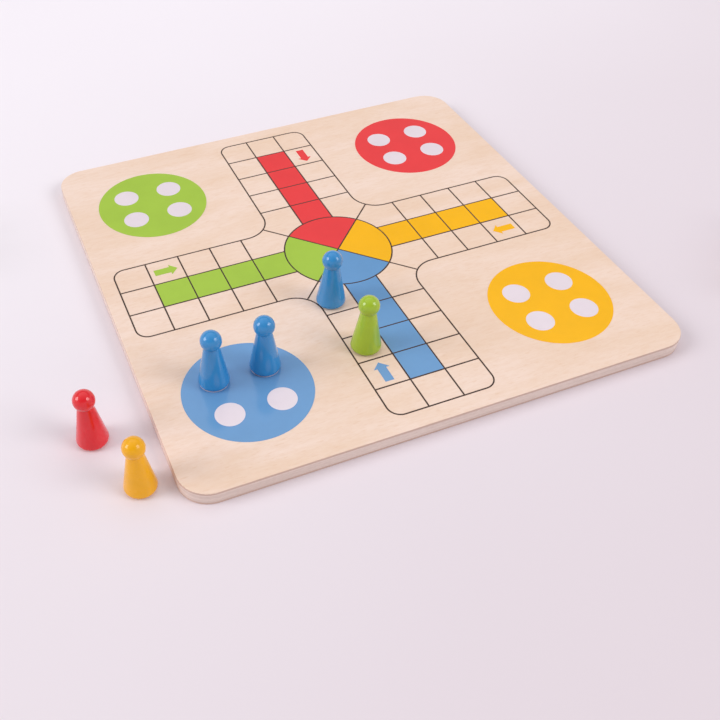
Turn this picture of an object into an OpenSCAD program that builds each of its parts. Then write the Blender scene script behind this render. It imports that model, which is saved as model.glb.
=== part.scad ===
// Wooden ludo set: a square plywood board with a printed track, four colours of turned pawns and a die.
// Millimetres, +Z up. The origin is the middle of the board's underside, and the front edge faces -Y.

/* [Board] */
// Bare border between the track's outer line and the board's edge
border = 11.1; // [6:0.1:30]
// Radius of the board's corners, seen from above
board_corner_r = 17; // [4:0.5:25]
// Thickness of the plywood's core
core_t = 5.8; // [2:0.1:12]
// Thickness of each face veneer
veneer_t = 1.5; // [1:0.1:2.5]
// Rounding of the upper and lower edges, kept inside the veneers
arris_r = 0.4; // [0.2:0.1:0.8]

/* [Track] */
// Length and width of one square
cell = 21.3; // [18:0.1:26]
// Squares of an arm between the hub and its outer end
arm_cells = 4; // [3:1:6]
// Straight run of an arm's edge between the bend at the hub and the first cross line
hub_run = 5.25; // [1:0.05:12]
// Radius of the round finish in the middle
finish_r = 34; // [28:0.5:42]
// Radius of an arm's outer corners
arm_corner_r = 7.5; // [2:0.5:10]
// Radius of the bend where two arms meet
inner_corner_r = 17; // [8:0.5:20]
// Width of a printed line
line_w = 0.85; // [0.4:0.05:1.5]
// Thickness of the ink on the veneer
ink_t = 0.1; // [0.05:0.01:0.2]
// How far left of the board's middle the print lies
print_left = 1.5; // [0:0.1:3]
// How far in front of the board's middle the print lies
print_front = 0.2; // [0:0.1:3]

/* [Start arrows] */
// Length of an arrow
arrow_l = 14.7; // [8:0.1:16]
// Width of an arrow's shaft
arrow_shaft_w = 5.3; // [3:0.1:7]
// Width of an arrow's head
arrow_head_w = 9.5; // [7:0.1:14]
// Length of an arrow's head
arrow_head_l = 4.6; // [3:0.1:7]

/* [Home discs] */
// Radius of a home disc
home_r = 36.3; // [30:0.1:42]
// Distance from the board's side edge to a disc's middle
home_inset_x = 55.1; // [48:0.1:60]
// Distance from the board's front or back edge to a disc's middle
home_inset_y = 58.3; // [48:0.1:60]
// Radius of a white spot
spot_r = 8.2; // [6:0.1:10]
// Spacing of the spots from side to side
spot_pitch_x = 29.8; // [22:0.1:34]
// Spacing of the spots from front to back
spot_pitch_y = 25.8; // [22:0.1:34]

/* [Pawns] */
// Height of a pawn
pawn_h = 37; // [30:0.1:50]
// Diameter of a pawn at its widest
pawn_d = 17.4; // [14:0.1:21]
// Diameter of the ball head
head_d = 11.8; // [10.5:0.1:15]
// Diameter of the neck under the head
neck_d = 8.5; // [6:0.1:10]
// Rounding of the foot
foot_r = 2.5; // [1:0.1:6]

/* [Pieces in play] */
// Distance from the board's left edge to the red pawn on the table
red_aside = 32; // [12:0.1:60]
// Distance from the board's front edge back to the red pawn on the table
red_back = 63.1; // [48:0.1:120]
// Distance from the board's left edge to the yellow pawn on the table
yellow_aside = 16.8; // [12:0.1:60]
// Distance from the board's front edge back to the yellow pawn on the table
yellow_back = 24; // [0:0.1:38]
// How far in front of its spot's middle a blue pawn at home stands
spot_stray = 0.3; // [0:0.1:2]
// How far left of its square's middle the blue pawn on the track stands
blue_stray = 3.4; // [0:0.1:4]
// How far left of its square's middle the green pawn on the track stands
green_stray = 0.9; // [0:0.1:4]

/* [Pieces waiting beside the board] */
// Distance from the board's left edge to the column of green pawns
wait_left = 110; // [70:1:160]
// Distance from the board's right edge to the nearest of the other pawns
wait_right = 90; // [30:1:160]
// Distance from the board's back edge to the left column, and from its front edge to the right rows
wait_end = 12; // [0:1:60]
// Free space between neighbouring pawns
wait_gap = 4.6; // [2:0.1:12]

/* [Die] */
// Width of the die
die_w = 16; // [12:0.5:20]
// Radius of the ball that rounds the die's corners
die_ball_r = 10.9; // [9:0.1:14]
// Diameter of a pip
pip_d = 2.8; // [1.6:0.1:3]
// Depth of a pip
pip_depth = 0.7; // [0.3:0.1:1]
// Spacing of the outer pips
pip_pitch = 7.6; // [5:0.1:9]
// Turn of the die on the table
die_turn = 24; // [0:1:45]

/* [Hidden] */
$fn = 96;

LANES = 3;
HOME_PAWNS = 4;
// The colours, in the order of their arms, anticlockwise from +X
PIECES = ["yellow", "red", "green", "blue"];
// How many pawns of each colour are in play
PAWNS_IN_PLAY = [1, 1, 1, 3];
// The row on the right that each colour's other pawns wait in; green has none, and waits on the left
WAIT_ROWS = [0, 1, undef, 2];
// The start arrow's square, counted from the arm's outer end
ARROW_SQUARE = 2;
INKS = [[1, 0.74, 0.13], [0.9, 0.26, 0.28], [0.66, 0.8, 0.3], [0.45, 0.62, 0.82]];
PAINTS = [[0.95, 0.68, 0.12], [0.86, 0.2, 0.23], [0.58, 0.72, 0.2], [0.22, 0.52, 0.77]];
// The side of the board that each colour's home disc lies on, in the order of PIECES
HOME_SIDES = [[1, -1], [1, 1], [-1, 1], [-1, -1]];
WOOD = [0.94, 0.83, 0.76];
CORE_WOOD = [0.82, 0.73, 0.7];
LINE_BROWN = [0.28, 0.2, 0.17];
SPOT_WHITE = [0.93, 0.89, 0.92];

// The track sets the board's size
arm_half_w = LANES * cell / 2;
hub_reach = arm_half_w + inner_corner_r + hub_run;
track_reach = hub_reach + arm_cells * cell;
board_half = track_reach + border;
board_top = 2 * veneer_t + core_t;
print_top = board_top + ink_t;
home_x = board_half - home_inset_x;
home_y = board_half - home_inset_y;
diagonal_reach = sqrt(2) * (arm_half_w + inner_corner_r) - inner_corner_r;
column_end = track_reach - cell;
arrow_x = track_reach - ARROW_SQUARE * cell + cell / 2;
// How far the bend's outline runs into the arms' outlines
overlap = 1;

// The pawn's side runs straight from the neck and touches the foot's rounding
head_z = pawn_h - head_d / 2;
neck_z = head_z - sqrt(pow(head_d / 2, 2) - pow(neck_d / 2, 2));
foot_x = pawn_d / 2 - foot_r;
side_run = [neck_d / 2 - foot_x, neck_z - foot_r];
side_turn = atan2(side_run.y, side_run.x) - acos(foot_r / norm(side_run));
side_touch = [foot_x, foot_r] + foot_r * [cos(side_turn), sin(side_turn)];

// A pip is part of a ball that sinks pip_depth into the die's face
pip_ball_r = (pow(pip_d / 2, 2) + pow(pip_depth, 2)) / (2 * pip_depth);

// Places of the pieces in play; an arm's squares are counted outwards, from 0 at the hub
function on_print(x, y, z) = [x - print_left, y - print_front, z];
function on_blue_spot(side) = on_print(
    side * spot_pitch_x / 2 - home_x,
    spot_pitch_y / 2 - home_y - spot_stray,
    print_top
);
function on_blue_arm(square, stray) = on_print(
    -cell - stray,
    -hub_reach - square * cell + cell / 2,
    board_top
);
function on_table(aside, back) = [-board_half - aside, back - board_half, 0];

// Places of the pieces that wait; each row on the right starts one pawn further out than the row before it
wait_pitch = pawn_d + wait_gap;
function waiting_left(n) = [-board_half - wait_left, board_half - wait_end - n * wait_pitch, 0];
function waiting_right(row, n) = [
    board_half + wait_right + (row + n) * wait_pitch,
    wait_end - board_half + row * wait_pitch,
    0
];
function waiting(colour_n, n) =
    is_undef(WAIT_ROWS[colour_n]) ? waiting_left(n) : waiting_right(WAIT_ROWS[colour_n], n);
// The die lies in the last row, beside the pawns there
die_place = waiting(3, HOME_PAWNS - PAWNS_IN_PLAY[3]);

// Each pawn's name, its colour's place in PIECES, and where it stands
PAWNS = [
    ["blue_pawn_1", 3, on_blue_spot(-1)],
    ["blue_pawn_2", 3, on_blue_spot(1)],
    ["blue_pawn_3", 3, on_blue_arm(0, blue_stray)],
    ["green_pawn_1", 2, on_blue_arm(2, green_stray)],
    ["red_pawn_1", 1, on_table(red_aside, red_back)],
    ["yellow_pawn_1", 0, on_table(yellow_aside, yellow_back)],
    for (colour_n = [0 : len(PIECES) - 1], n = [0 : HOME_PAWNS - PAWNS_IN_PLAY[colour_n] - 1])
        [str(PIECES[colour_n], "_pawn_", PAWNS_IN_PLAY[colour_n] + n + 1), colour_n, waiting(colour_n, n)]
];

// Flat outlines

module rounded_rectangle(half_x, half_y, r) {
    square([2 * half_x, 2 * (half_y - r)], center = true);
    square([2 * (half_x - r), 2 * half_y], center = true);
    for (x = [r - half_x, half_x - r], y = [r - half_y, half_y - r])
        translate([x, y]) circle(r);
}

// The area between two arms' edges and the bend that joins them, grown by the given amount
module inner_corner(grow) {
    edge = arm_half_w + grow;
    bend = inner_corner_r - grow;
    translate([edge - overlap, edge - overlap])
        difference() {
            square(bend + overlap);
            translate([bend + overlap, bend + overlap]) circle(bend);
        }
}

// The whole cross of the track, grown by the given amount
module track_area(grow) {
    for (turn = [0, 90])
        rotate(turn)
            rounded_rectangle(track_reach + grow, arm_half_w + grow, arm_corner_r + grow);
    for (turn = [0 : 90 : 270])
        rotate(turn) inner_corner(grow);
}

module arm_lines() {
    lane_start = sqrt(pow(finish_r, 2) - pow(cell / 2, 2));
    for (side = [-1, 1])
        translate([lane_start, side * cell / 2 - line_w / 2])
            square([track_reach - lane_start, line_w]);
    for (square_n = [0 : arm_cells - 1])
        translate([hub_reach + square_n * cell - line_w / 2, -arm_half_w])
            square([line_w, 2 * arm_half_w]);
}

module track_lines() {
    difference() {
        track_area(line_w / 2);
        track_area(-line_w / 2);
    }
    difference() {
        circle(finish_r + line_w / 2);
        circle(finish_r - line_w / 2);
    }
    for (turn = [0 : 90 : 270])
        rotate(turn) arm_lines();
    for (turn = [45, 135])
        rotate(turn) square([2 * diagonal_reach, line_w], center = true);
}

// One colour's home column with its quarter of the finish, lying along +X
module home_column() {
    quarter_l = 2 * finish_r;
    translate([cell / 2, -cell / 2]) square([column_end - cell / 2, cell]);
    intersection() {
        circle(finish_r);
        polygon([[0, 0], [quarter_l, -quarter_l], [quarter_l, quarter_l]]);
    }
}

// Start arrow, with its middle at the origin and its tip towards -X
module arrow() {
    neck_x = arrow_head_l - arrow_l / 2;
    polygon([
        [-arrow_l / 2, 0],
        [neck_x, -arrow_head_w / 2],
        [neck_x, -arrow_shaft_w / 2],
        [arrow_l / 2, -arrow_shaft_w / 2],
        [arrow_l / 2, arrow_shaft_w / 2],
        [neck_x, arrow_shaft_w / 2],
        [neck_x, arrow_head_w / 2]
    ]);
}

module home_spots() {
    for (x = [-1, 1], y = [-1, 1])
        translate([x * spot_pitch_x / 2, y * spot_pitch_y / 2]) circle(spot_r);
}

module at_home(colour_n) {
    translate([HOME_SIDES[colour_n].x * home_x, HOME_SIDES[colour_n].y * home_y])
        children();
}

// The board

// Section through the board's edge, from the corner's centre out to the edge, rounded at the top
module edge_section(height) {
    difference() {
        square([board_corner_r, height]);
        translate([board_corner_r - arris_r, height - arris_r])
            difference() {
                square(2 * arris_r);
                circle(arris_r);
            }
    }
}

// A veneer with its rounded edge on top: the flat middle, four straight edges and four corners
module veneer() {
    flat_half = board_half - board_corner_r;
    translate([-flat_half, -flat_half, 0])
        cube([2 * flat_half, 2 * flat_half, veneer_t]);
    for (turn = [0 : 90 : 270])
        rotate(turn) {
            translate([flat_half, flat_half, 0])
                rotate([90, 0, 0])
                    linear_extrude(2 * flat_half) edge_section(veneer_t);
            translate([flat_half, flat_half, 0])
                rotate_extrude(angle = 90) edge_section(veneer_t);
        }
}

module bottom_veneer() {
    color(WOOD)
        translate([0, 0, veneer_t])
            mirror([0, 0, 1]) veneer();
}

module core() {
    color(CORE_WOOD)
        translate([0, 0, veneer_t])
            linear_extrude(core_t) rounded_rectangle(board_half, board_half, board_corner_r);
}

module top_veneer() {
    color(WOOD)
        translate([0, 0, veneer_t + core_t]) veneer();
}

// The print

module ink(shade) {
    color(shade)
        translate(on_print(0, 0, board_top))
            linear_extrude(ink_t) children();
}

module line_print() {
    ink(LINE_BROWN) track_lines();
}

module white_print() {
    ink(SPOT_WHITE)
        for (colour_n = [0 : len(PIECES) - 1])
            at_home(colour_n) home_spots();
}

module colour_print(colour_n) {
    ink(INKS[colour_n]) {
        at_home(colour_n)
            difference() {
                circle(home_r);
                home_spots();
            }
        rotate(90 * colour_n)
            translate([arrow_x, -cell]) arrow();
        difference() {
            rotate(90 * colour_n) home_column();
            track_lines();
        }
    }
}

// The playing pieces

module pawn_body() {
    rotate_extrude() {
        polygon([[0, 0], [foot_x, 0], [foot_x, foot_r], side_touch, [neck_d / 2, neck_z], [0, neck_z]]);
        translate([foot_x, foot_r]) circle(foot_r);
    }
    translate([0, 0, head_z]) sphere(d = head_d);
}

module pawn(colour_n, place) {
    color(PAINTS[colour_n])
        translate(place) pawn_body();
}

// Places of the pips on a face, in steps of half the pip spacing
function pip_places(count) = [
    if (count % 2 == 1) [0, 0],
    if (count > 1) each [[-1, -1], [1, 1]],
    if (count > 3) each [[-1, 1], [1, -1]],
    if (count == 6) each [[-1, 0], [1, 0]]
];

module pips(count) {
    for (place = pip_places(count))
        translate([place.x * pip_pitch / 2, place.y * pip_pitch / 2, die_w / 2 + pip_ball_r - pip_depth])
            sphere(pip_ball_r);
}

// Opposite faces of the die add up to seven
module die() {
    color(WOOD)
        translate(die_place + [0, 0, die_w / 2])
            rotate(die_turn)
                difference() {
                    intersection() {
                        cube(die_w, center = true);
                        sphere(die_ball_r);
                    }
                    pips(5);
                    rotate([180, 0, 0]) pips(2);
                    rotate([90, 0, 0]) pips(3);
                    rotate([-90, 0, 0]) pips(4);
                    rotate([0, 90, 0]) pips(1);
                    rotate([0, -90, 0]) pips(6);
                }
}

bottom_veneer();
core();
top_veneer();
line_print();
white_print();
for (colour_n = [0 : len(PIECES) - 1])
    colour_print(colour_n);
for (piece = PAWNS)
    pawn(piece[1], piece[2]);
die();
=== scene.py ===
"""Looks of the wooden ludo set: lacquered veneer, printed inks, glossy painted pawns and a wooden die."""

import math

import bpy
from mathutils import Matrix, Vector


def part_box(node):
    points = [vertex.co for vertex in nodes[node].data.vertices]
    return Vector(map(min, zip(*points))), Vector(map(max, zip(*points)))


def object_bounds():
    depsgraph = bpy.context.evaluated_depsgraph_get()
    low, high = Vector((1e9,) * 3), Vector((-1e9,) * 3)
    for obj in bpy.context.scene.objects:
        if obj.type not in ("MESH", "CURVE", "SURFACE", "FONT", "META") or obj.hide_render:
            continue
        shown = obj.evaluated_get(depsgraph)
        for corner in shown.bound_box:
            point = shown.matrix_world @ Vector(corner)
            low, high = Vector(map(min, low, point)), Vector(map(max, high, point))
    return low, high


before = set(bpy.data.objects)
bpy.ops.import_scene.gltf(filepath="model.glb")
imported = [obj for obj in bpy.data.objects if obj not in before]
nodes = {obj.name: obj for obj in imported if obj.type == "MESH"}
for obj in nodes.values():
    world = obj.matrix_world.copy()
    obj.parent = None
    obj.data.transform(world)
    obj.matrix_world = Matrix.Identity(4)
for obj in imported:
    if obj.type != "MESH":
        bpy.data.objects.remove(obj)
cad_low, cad_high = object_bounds()

# Camera: the point it aims at and its distance in metres, its angles in degrees, its lens and sensor in
# millimetres, its sideways shift as a share of the picture, and how near and far it sees in metres
CAMERA_AIM = Vector((-0.0767, -0.0676, 0.0008))
CAMERA_DISTANCE = 0.5091
CAMERA_AZIMUTH = -20.27
CAMERA_ELEVATION = 45.45
CAMERA_ROLL = -1.39
CAMERA_LENS = 44.61
CAMERA_SENSOR = 36.0
CAMERA_SHIFT = 0.13
CAMERA_SEES = (0.01, 50.0)

# Lamps: each one's azimuth, elevation and width in degrees, and its strength
LAMPS = {
    "lamp_left": (-101.0, 31.0, 30.0, 1.22),
    "lamp_right": (51.0, 37.0, 30.0, 1.0),
}
LAMP_DISTANCE = 2.0

# Room: how bright its lower walls look, and how much its lower walls, upper walls and ceiling light
ROOM_TINT = (1.0, 0.985, 1.0, 1.0)
WALL_LOOK = 0.86
WALL_LIGHT = 0.36
UPPER_WALL_LIGHT = 0.3
CEILING_LIGHT = 0.76
# The azimuth in degrees of one of the two side walls, how much more they light, and how narrow that glow is
SIDE_AZIMUTH = 69.73
SIDE_GLOW = 1.8
SIDE_FALL = 4.0
# How much the ceiling brightens to the back
CEILING_TILT = 1.05
# The elevations in degrees between which one part of the room passes into the next
UPPER_WALL_FROM = (21.0, 27.0)
CEILING_FROM = (39.0, 45.0)

# Floor: its side in metres, how its painted light pales it towards the back left and its painted shade
# deepens it towards the front right, its faint clouds and its finish
FLOOR_SIZE = 12.0
FLOOR_SLANT = 0.6
FLOOR_PAINTED_FALLOFF = (-0.4, 0.6)
FLOOR_CLOUD_SCALE = 3.0
FLOOR_CLOUDS = 0.2
FLOOR_ROUGHNESS = 0.8
FLOOR_SPECULAR = 0.2

# Die: its turn in degrees, and how far its faces and its pips' outer rims lie from its middle in metres
DIE_TURN = 24.0
DIE_HALF = 0.008
PIPS_REACH = 0.0106
# How far below a face the paint of a pip starts and is full, and how wide its outer rim is
PIP_PAINT_FROM = 0.00003
PIP_PAINT_FULL = 0.00006
PIP_RIM = 0.00005


def tone(red, green, blue):
    """A colour given as 0 to 255 on screen, in the linear values that the shaders use."""
    screen = [channel / 255 for channel in (red, green, blue)]
    return (*(c / 12.92 if c <= 0.04045 else ((c + 0.055) / 1.055) ** 2.4 for c in screen), 1.0)


VENEER_PALE = tone(247, 222, 207)
VENEER_WARM = tone(241, 212, 190)
VENEER_LINE = tone(226, 184, 147)
VENEER_EDGE = tone(207, 175, 160)
CORE_PALE = tone(239, 220, 211)
CORE_DARK = tone(224, 202, 192)
PIP_BROWN = tone(66, 48, 41)
LINE_BROWN = tone(66, 46, 38)
SPOT_WHITE = tone(236, 223, 231)
INKS = {
    "yellow": tone(254, 188, 6),
    "red": tone(238, 64, 67),
    "green": tone(168, 202, 70),
    "blue": tone(104, 156, 207),
}
PAINTS = {
    "yellow": tone(249, 178, 2),
    "red": tone(231, 28, 40),
    "green": tone(165, 196, 42),
    "blue": tone(50, 141, 206),
}
# The floor's colour in painted light at the back left, and in painted shade at the front right
FLOOR_PAINTED_LIGHT = tone(248, 242, 249)
FLOOR_PAINTED_SHADE = tone(226, 214, 221)
# How dark the deeper spots of an ink or a paint are, as a share of its colour
INK_DEEPER = 0.95
PAINT_DEEPER = 0.94

# How much of the line colour each mask of the grain brings in, and of the edge colour a sideways face has
GRAIN_SHARES = {"Wisps": 0.13, "Streaks": 0.19, "Ticks": 0.26}
EDGE_SHARE = 0.9

# Roughness of each finish, from its smoothest to its roughest spots
VENEER_ROUGHNESS = (0.42, 0.5)
DIE_ROUGHNESS = (0.42, 0.52)
CORE_ROUGHNESS = (0.6, 0.75)
PAINT_ROUGHNESS = (0.26, 0.34)
# Roughness of each ink at its smoothest, with its index of refraction, and how much rougher an ink gets
LINE_GLOSS = (0.35, 1.4)
SPOT_GLOSS = (0.2, 1.45)
INK_GLOSS = {"yellow": (0.22, 1.4), "red": (0.22, 1.4), "green": (0.22, 1.4), "blue": (0.12, 1.5)}
INK_ROUGHER = 0.05
# How much the bare paint shines, and the weight and roughness of the clear coat over it
PAINT_SPECULAR = 0.1
PAINT_COATS = {"yellow": 0.72, "red": 1.0, "green": 1.0, "blue": 1.0}
COAT_ROUGHNESS = 0.11

# Height of each finish's unevenness in metres
GRAIN_HEIGHT = 0.00003
FUZZ_HEIGHT = 0.00005
FILM_HEIGHT = 0.000008


# Shader helpers

def new_material(name):
    """A material with only a Principled shader, its node tree and that shader."""
    material = bpy.data.materials.new(name)
    material.use_nodes = True
    return material, material.node_tree, material.node_tree.nodes["Principled BSDF"]


def set_input(tree, socket, value):
    """Links the socket from another socket, or sets it to a plain value."""
    if isinstance(value, bpy.types.NodeSocket):
        tree.links.new(value, socket)
    else:
        socket.default_value = value


def add(tree, kind, **inputs):
    """A node of that kind, with the given inputs set by name."""
    node = tree.nodes.new(kind)
    for name, value in inputs.items():
        set_input(tree, node.inputs[name], value)
    return node


def maths(tree, operation, first, second=0.0):
    node = tree.nodes.new("ShaderNodeMath")
    node.operation = operation
    set_input(tree, node.inputs[0], first)
    set_input(tree, node.inputs[1], second)
    return node.outputs[0]


def ramp(tree, value, low, high, to_low=0.0, to_high=1.0):
    """Takes low to high smoothly to the two given ends, and holds them beyond."""
    node = tree.nodes.new("ShaderNodeMapRange")
    node.interpolation_type = "SMOOTHSTEP"
    for socket, number in zip(node.inputs[:5], (value, low, high, to_low, to_high)):
        set_input(tree, socket, number)
    return node.outputs[0]


def blend_colours(tree, share, first, second):
    node = tree.nodes.new("ShaderNodeMix")
    node.data_type = "RGBA"
    set_input(tree, node.inputs["Factor"], share)
    set_input(tree, node.inputs["A"], first)
    set_input(tree, node.inputs["B"], second)
    return node.outputs["Result"]


def noise(tree, place, scale, detail=2.0, roughness=0.5, distortion=0.0):
    node = add(tree, "ShaderNodeTexNoise", Vector=place, Scale=scale, Detail=detail)
    node.inputs["Roughness"].default_value = roughness
    node.inputs["Distortion"].default_value = distortion
    return node.outputs["Fac"]


def stretched(tree, place, scale):
    node = add(tree, "ShaderNodeMapping", Vector=place)
    node.inputs["Scale"].default_value = scale
    return node.outputs["Vector"]


def along_grain(tree, place, share):
    """The place drawn out along X, so that a pattern on it is longer there by one over the share."""
    return stretched(tree, place, (share, 1.0, 1.0))


def object_place(tree):
    return tree.nodes.new("ShaderNodeTexCoord").outputs["Object"]


def bump(tree, height, distance):
    return add(tree, "ShaderNodeBump", Height=height, Distance=distance, Strength=1.0).outputs["Normal"]


def set_surface(tree, shader, colour, roughness, normal):
    """Links the three parts of a finish that change over the surface."""
    set_input(tree, shader.inputs["Base Color"], colour)
    set_input(tree, shader.inputs["Roughness"], roughness)
    set_input(tree, shader.inputs["Normal"], normal)


def deepened(colour, share):
    return (*(channel * share for channel in colour[:3]), 1.0)


def new_group(name, masks):
    """An empty shader group with a place to read and the named masks to put out."""
    group = bpy.data.node_groups.new(name, "ShaderNodeTree")
    group.interface.new_socket(name="Place", in_out="INPUT", socket_type="NodeSocketVector")
    for label in masks:
        group.interface.new_socket(name=label, in_out="OUTPUT", socket_type="NodeSocketFloat")
    return group, group.nodes.new("NodeGroupInput").outputs["Place"], group.nodes.new("NodeGroupOutput")


def use_group(tree, group, place):
    """The outputs of a group that reads the given place."""
    node = tree.nodes.new("ShaderNodeGroup")
    node.node_tree = group
    set_input(tree, node.inputs["Place"], place)
    return node.outputs


# Shared effects

def make_wood_grain():
    """Grain along X: broad tone, soft wisps, fine streaks and short ticks as masks, and their height."""
    group, place, result = new_group("wood_grain", ("Tone", "Wisps", "Streaks", "Ticks", "Height"))
    broad = noise(group, along_grain(group, place, 0.25), 36.0, 3.0, 0.55, 0.5)
    clumps = noise(group, along_grain(group, place, 0.36), 170.0, 2.0, 0.55, 0.3)
    fibres = noise(group, along_grain(group, place, 0.24), 620.0, 3.0, 0.65)
    specks = noise(group, along_grain(group, place, 0.2), 900.0, 1.0)
    ticks = ramp(group, specks, 0.6, 0.74)
    masks = {
        "Tone": ramp(group, broad, 0.32, 0.68),
        "Wisps": ramp(group, clumps, 0.5, 0.75),
        "Streaks": ramp(group, fibres, 0.35, 0.7),
        "Ticks": ticks,
        "Height": maths(group, "SUBTRACT", maths(group, "MULTIPLY", fibres, 0.5), ticks),
    }
    for label, mask in masks.items():
        group.links.new(mask, result.inputs[label])
    return group


def make_ink_lay():
    """How a printed film lies: clouds in its colour, an uneven gloss, and its height over the grain."""
    group, place, result = new_group("ink_lay", ("Clouds", "Unevenness", "Height"))
    unevenness = noise(group, place, 420.0)
    fibres = noise(group, along_grain(group, place, 0.06), 620.0)
    masks = {
        "Clouds": noise(group, place, 55.0, 3.0, 0.55),
        "Unevenness": unevenness,
        "Height": maths(group, "ADD", fibres, maths(group, "MULTIPLY", unevenness, 0.4)),
    }
    for label, mask in masks.items():
        group.links.new(mask, result.inputs[label])
    return group


wood_grain = make_wood_grain()
ink_lay = make_ink_lay()


# Materials

def upright_share(tree):
    """1 on faces that look sideways and 0 on faces that look up or down."""
    normal = tree.nodes.new("ShaderNodeTexCoord").outputs["Normal"]
    split = add(tree, "ShaderNodeSeparateXYZ", Vector=normal)
    return ramp(tree, maths(tree, "ABSOLUTE", split.outputs["Z"]), 0.2, 0.85, 1.0, 0.0)


def grain_colour(tree, grain):
    """The wood's colour from the masks of its grain."""
    colour = blend_colours(tree, grain["Tone"], VENEER_PALE, VENEER_WARM)
    for mask, share in GRAIN_SHARES.items():
        colour = blend_colours(tree, maths(tree, "MULTIPLY", grain[mask], share), colour, VENEER_LINE)
    return colour


def lacquered_veneer():
    """Sanded and lacquered veneer, darker on its cut edge."""
    material, tree, shader = new_material("lacquered_veneer")
    grain = use_group(tree, wood_grain, object_place(tree))
    edge = maths(tree, "MULTIPLY", upright_share(tree), EDGE_SHARE)
    colour = blend_colours(tree, edge, grain_colour(tree, grain), VENEER_EDGE)
    roughness = ramp(tree, grain["Streaks"], 0.0, 1.0, *VENEER_ROUGHNESS)
    set_surface(tree, shader, colour, roughness, bump(tree, grain["Height"], GRAIN_HEIGHT))
    return material


def sanded_core():
    """The core's bare edge: faint level layers under a sanded fuzz."""
    material, tree, shader = new_material("sanded_core")
    place = object_place(tree)
    plies = noise(tree, stretched(tree, place, (0.02, 0.02, 1.0)), 620.0)
    fuzz = noise(tree, stretched(tree, place, (0.3, 0.3, 1.0)), 1500.0)
    share = maths(tree, "ADD", maths(tree, "MULTIPLY", plies, 0.6), maths(tree, "MULTIPLY", fuzz, 0.4))
    colour = blend_colours(tree, ramp(tree, share, 0.3, 0.7), CORE_PALE, CORE_DARK)
    roughness = ramp(tree, fuzz, 0.3, 0.7, *CORE_ROUGHNESS)
    set_surface(tree, shader, colour, roughness, bump(tree, fuzz, FUZZ_HEIGHT))
    return material


def printed_ink(name, ink, smoothest, refraction):
    """A printed film in the ink's colour with faint clouds, and a slightly uneven gloss."""
    material, tree, shader = new_material(name)
    lay = use_group(tree, ink_lay, object_place(tree))
    colour = blend_colours(tree, ramp(tree, lay["Clouds"], 0.3, 0.75), ink, deepened(ink, INK_DEEPER))
    roughness = ramp(tree, lay["Unevenness"], 0.3, 0.7, smoothest, smoothest + INK_ROUGHER)
    set_surface(tree, shader, colour, roughness, bump(tree, lay["Height"], FILM_HEIGHT))
    shader.inputs["IOR"].default_value = refraction
    return material


def gloss_paint(name, paint, coat):
    """Dipped gloss paint on turned wood, with faint turning rings and uneven cover."""
    material, tree, shader = new_material(name)
    place = object_place(tree)
    cover = noise(tree, place, 110.0)
    turning = noise(tree, stretched(tree, place, (0.02, 0.02, 1.0)), 900.0)
    colour = blend_colours(tree, ramp(tree, cover, 0.3, 0.75), paint, deepened(paint, PAINT_DEEPER))
    roughness = ramp(tree, cover, 0.3, 0.7, *PAINT_ROUGHNESS)
    set_surface(tree, shader, colour, roughness, bump(tree, maths(tree, "ADD", turning, cover), FILM_HEIGHT))
    shader.inputs["Specular IOR Level"].default_value = PAINT_SPECULAR
    shader.inputs["Coat Weight"].default_value = coat
    shader.inputs["Coat Roughness"].default_value = COAT_ROUGHNESS
    return material


def die_place(tree):
    """The place measured from the die's middle, along its own sides."""
    low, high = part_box("die")
    node = add(tree, "ShaderNodeMapping", Vector=object_place(tree))
    node.vector_type = "TEXTURE"
    node.inputs["Location"].default_value = (low + high) / 2
    node.inputs["Rotation"].default_value = (0.0, 0.0, math.radians(DIE_TURN))
    return node.outputs["Vector"]


def pip_mask(tree, place):
    """1 in the pips, which lie deeper than the faces and nearer the middle than the corners' rounding."""
    away = add(tree, "ShaderNodeSeparateXYZ", Vector=place)
    sides = [maths(tree, "ABSOLUTE", away.outputs[axis]) for axis in "XYZ"]
    farthest = maths(tree, "MAXIMUM", maths(tree, "MAXIMUM", sides[0], sides[1]), sides[2])
    sunk = ramp(tree, farthest, DIE_HALF - PIP_PAINT_FULL, DIE_HALF - PIP_PAINT_FROM, 1.0, 0.0)
    reach = tree.nodes.new("ShaderNodeVectorMath")
    reach.operation = "LENGTH"
    set_input(tree, reach.inputs[0], place)
    near = ramp(tree, reach.outputs["Value"], PIPS_REACH - PIP_RIM, PIPS_REACH, 1.0, 0.0)
    return maths(tree, "MULTIPLY", sunk, near)


def die_wood():
    """Smooth sanded wood with paint in the pips."""
    material, tree, shader = new_material("die_wood")
    place = die_place(tree)
    grain = use_group(tree, wood_grain, place)
    colour = blend_colours(tree, pip_mask(tree, place), grain_colour(tree, grain), PIP_BROWN)
    roughness = ramp(tree, grain["Streaks"], 0.0, 1.0, *DIE_ROUGHNESS)
    set_surface(tree, shader, colour, roughness, bump(tree, grain["Height"], GRAIN_HEIGHT))
    return material


def dress(node, material):
    nodes[node].material_slots[0].material = material


def dress_set():
    """Gives every node of the set its finish."""
    veneer = lacquered_veneer()
    dress("top_veneer", veneer)
    dress("bottom_veneer", veneer)
    dress("core", sanded_core())
    dress("line_print", printed_ink("brown_line_ink", LINE_BROWN, *LINE_GLOSS))
    dress("white_print", printed_ink("white_spot_ink", SPOT_WHITE, *SPOT_GLOSS))
    for colour, ink in INKS.items():
        dress(colour + "_print", printed_ink(colour + "_ink", ink, *INK_GLOSS[colour]))
        paint = gloss_paint(colour + "_paint", PAINTS[colour], PAINT_COATS[colour])
        for node in nodes:
            if node.startswith(colour + "_pawn"):
                dress(node, paint)
    dress("die", die_wood())


# Stage

def direction(azimuth, elevation):
    """The unit vector towards a point at that azimuth and elevation: 0, 0 is the board's front."""
    turn = math.radians(azimuth)
    rise = math.radians(elevation)
    return Vector((math.sin(turn) * math.cos(rise), -math.cos(turn) * math.cos(rise), math.sin(rise)))


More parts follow.
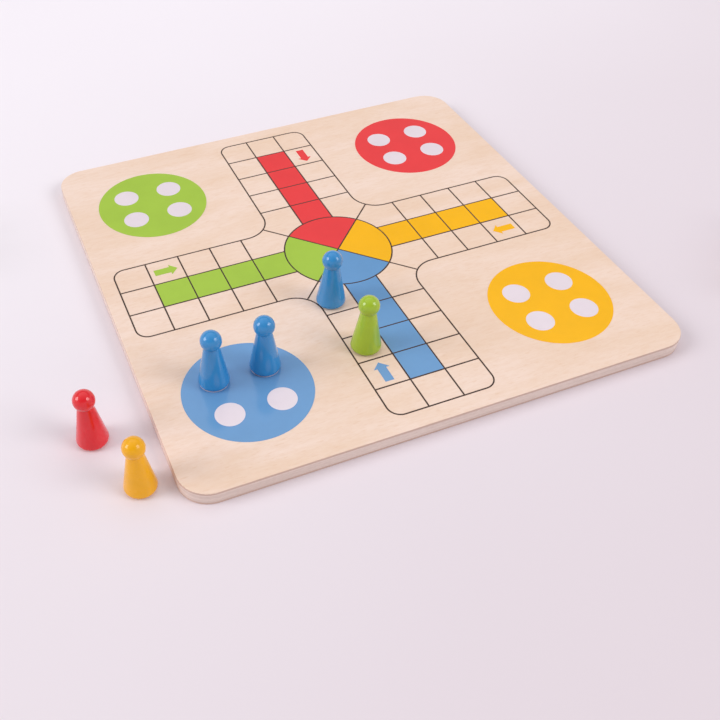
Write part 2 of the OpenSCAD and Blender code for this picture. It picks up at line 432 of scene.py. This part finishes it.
def set_camera():
    data = bpy.data.cameras.new("camera")
    data.sensor_width = CAMERA_SENSOR
    data.lens = CAMERA_LENS
    data.shift_x = CAMERA_SHIFT
    data.clip_start, data.clip_end = CAMERA_SEES
    camera = bpy.data.objects.new("camera", data)
    bpy.context.scene.collection.objects.link(camera)
    back = direction(CAMERA_AZIMUTH, CAMERA_ELEVATION)
    level = Vector((0.0, 0.0, 1.0)).cross(back).normalized()
    axes = Matrix((level, back.cross(level), back)).transposed().to_4x4()
    roll = Matrix.Rotation(math.radians(CAMERA_ROLL), 4, "Z")
    camera.matrix_world = Matrix.Translation(CAMERA_AIM + back * CAMERA_DISTANCE) @ axes @ roll
    bpy.context.scene.camera = camera


def set_floor():
    """A plain pale floor with painted light and shade: paler towards the back left, a little deeper in tone
    towards the front right.
    """
    bpy.ops.object.select_all(action="DESELECT")
    bpy.ops.mesh.primitive_plane_add(size=FLOOR_SIZE, location=(0.0, 0.0, cad_low.z))
    floor = bpy.context.object
    floor.name = "floor"
    material, tree, shader = new_material("pale_floor")
    place = object_place(tree)
    away = add(tree, "ShaderNodeSeparateXYZ", Vector=place)
    clouds = maths(tree, "MULTIPLY", noise(tree, place, FLOOR_CLOUD_SCALE), FLOOR_CLOUDS)
    # Painted light and shade: the floor's colour runs from painted shade at the front right to painted light
    # at the back left
    rightward = maths(tree, "MULTIPLY", away.outputs["X"], FLOOR_SLANT)
    back_left = maths(tree, "SUBTRACT", away.outputs["Y"], rightward)
    pale = ramp(tree, maths(tree, "ADD", back_left, clouds), *FLOOR_PAINTED_FALLOFF)
    set_input(tree, shader.inputs["Base Color"], blend_colours(tree, pale, FLOOR_PAINTED_SHADE, FLOOR_PAINTED_LIGHT))
    shader.inputs["Roughness"].default_value = FLOOR_ROUGHNESS
    shader.inputs["Specular IOR Level"].default_value = FLOOR_SPECULAR
    floor.data.materials.append(material)


def set_lights():
    """Two broad soft lamps whose light is as strong everywhere on the floor."""
    for name, (azimuth, elevation, width, strength) in LAMPS.items():
        data = bpy.data.lights.new(name, "SUN")
        data.angle = math.radians(width)
        data.energy = strength
        lamp = bpy.data.objects.new(name, data)
        bpy.context.scene.collection.objects.link(lamp)
        towards = direction(azimuth, elevation)
        lamp.location = towards * LAMP_DISTANCE
        lamp.rotation_mode = "QUATERNION"
        lamp.rotation_quaternion = (-towards).to_track_quat("-Z", "Y")


def rises(elevations):
    """The heights that a unit vector has at those elevations in degrees."""
    return [math.sin(math.radians(elevation)) for elevation in elevations]


def wall_glow(tree, towards):
    """How much the walls light that way: 1 at the front and back of the room, and more at its two sides."""
    aside = tree.nodes.new("ShaderNodeVectorMath")
    aside.operation = "DOT_PRODUCT"
    set_input(tree, aside.inputs[0], towards)
    aside.inputs[1].default_value = direction(SIDE_AZIMUTH, 0.0)
    sideways = maths(tree, "POWER", maths(tree, "ABSOLUTE", aside.outputs["Value"]), SIDE_FALL)
    return maths(tree, "ADD", maths(tree, "MULTIPLY", sideways, SIDE_GLOW), 1.0)


def seen_share(tree):
    """1 where the room is seen, straight or in a surface, and 0 where it only lights."""
    path = tree.nodes.new("ShaderNodeLightPath")
    seen = maths(tree, "MAXIMUM", path.outputs["Is Camera Ray"], path.outputs["Is Glossy Ray"])
    return maths(tree, "MAXIMUM", seen, path.outputs["Is Transmission Ray"])


def set_room():
    """A pale room: lower walls that look brighter than they light, dimmer upper walls, and a ceiling that
    brightens to the back."""
    world = bpy.data.worlds.new("studio")
    bpy.context.scene.world = world
    world.use_nodes = True
    tree = world.node_tree
    towards = tree.nodes.new("ShaderNodeTexCoord").outputs["Generated"]
    aim = add(tree, "ShaderNodeSeparateXYZ", Vector=towards)
    glow = wall_glow(tree, towards)
    low_light = maths(tree, "MULTIPLY", glow, WALL_LIGHT)
    upper_light = maths(tree, "MULTIPLY", glow, UPPER_WALL_LIGHT)
    paler = maths(tree, "MULTIPLY", seen_share(tree), maths(tree, "SUBTRACT", WALL_LOOK, low_light))
    low_walls = maths(tree, "ADD", paler, low_light)
    walls = ramp(tree, aim.outputs["Z"], *rises(UPPER_WALL_FROM), low_walls, upper_light)
    to_back = maths(tree, "MULTIPLY", aim.outputs["Y"], CEILING_TILT * CEILING_LIGHT)
    ceiling_light = maths(tree, "ADD", to_back, CEILING_LIGHT)
    ceiling = ramp(tree, aim.outputs["Z"], *rises(CEILING_FROM))
    overhead = maths(tree, "MULTIPLY", ceiling, maths(tree, "SUBTRACT", ceiling_light, upper_light))
    room = tree.nodes["Background"]
    room.inputs["Color"].default_value = ROOM_TINT
    set_input(tree, room.inputs["Strength"], maths(tree, "ADD", walls, overhead))


set_camera()
set_floor()
set_lights()
set_room()
dress_set()
bpy.context.scene.view_settings.view_transform = "Standard"
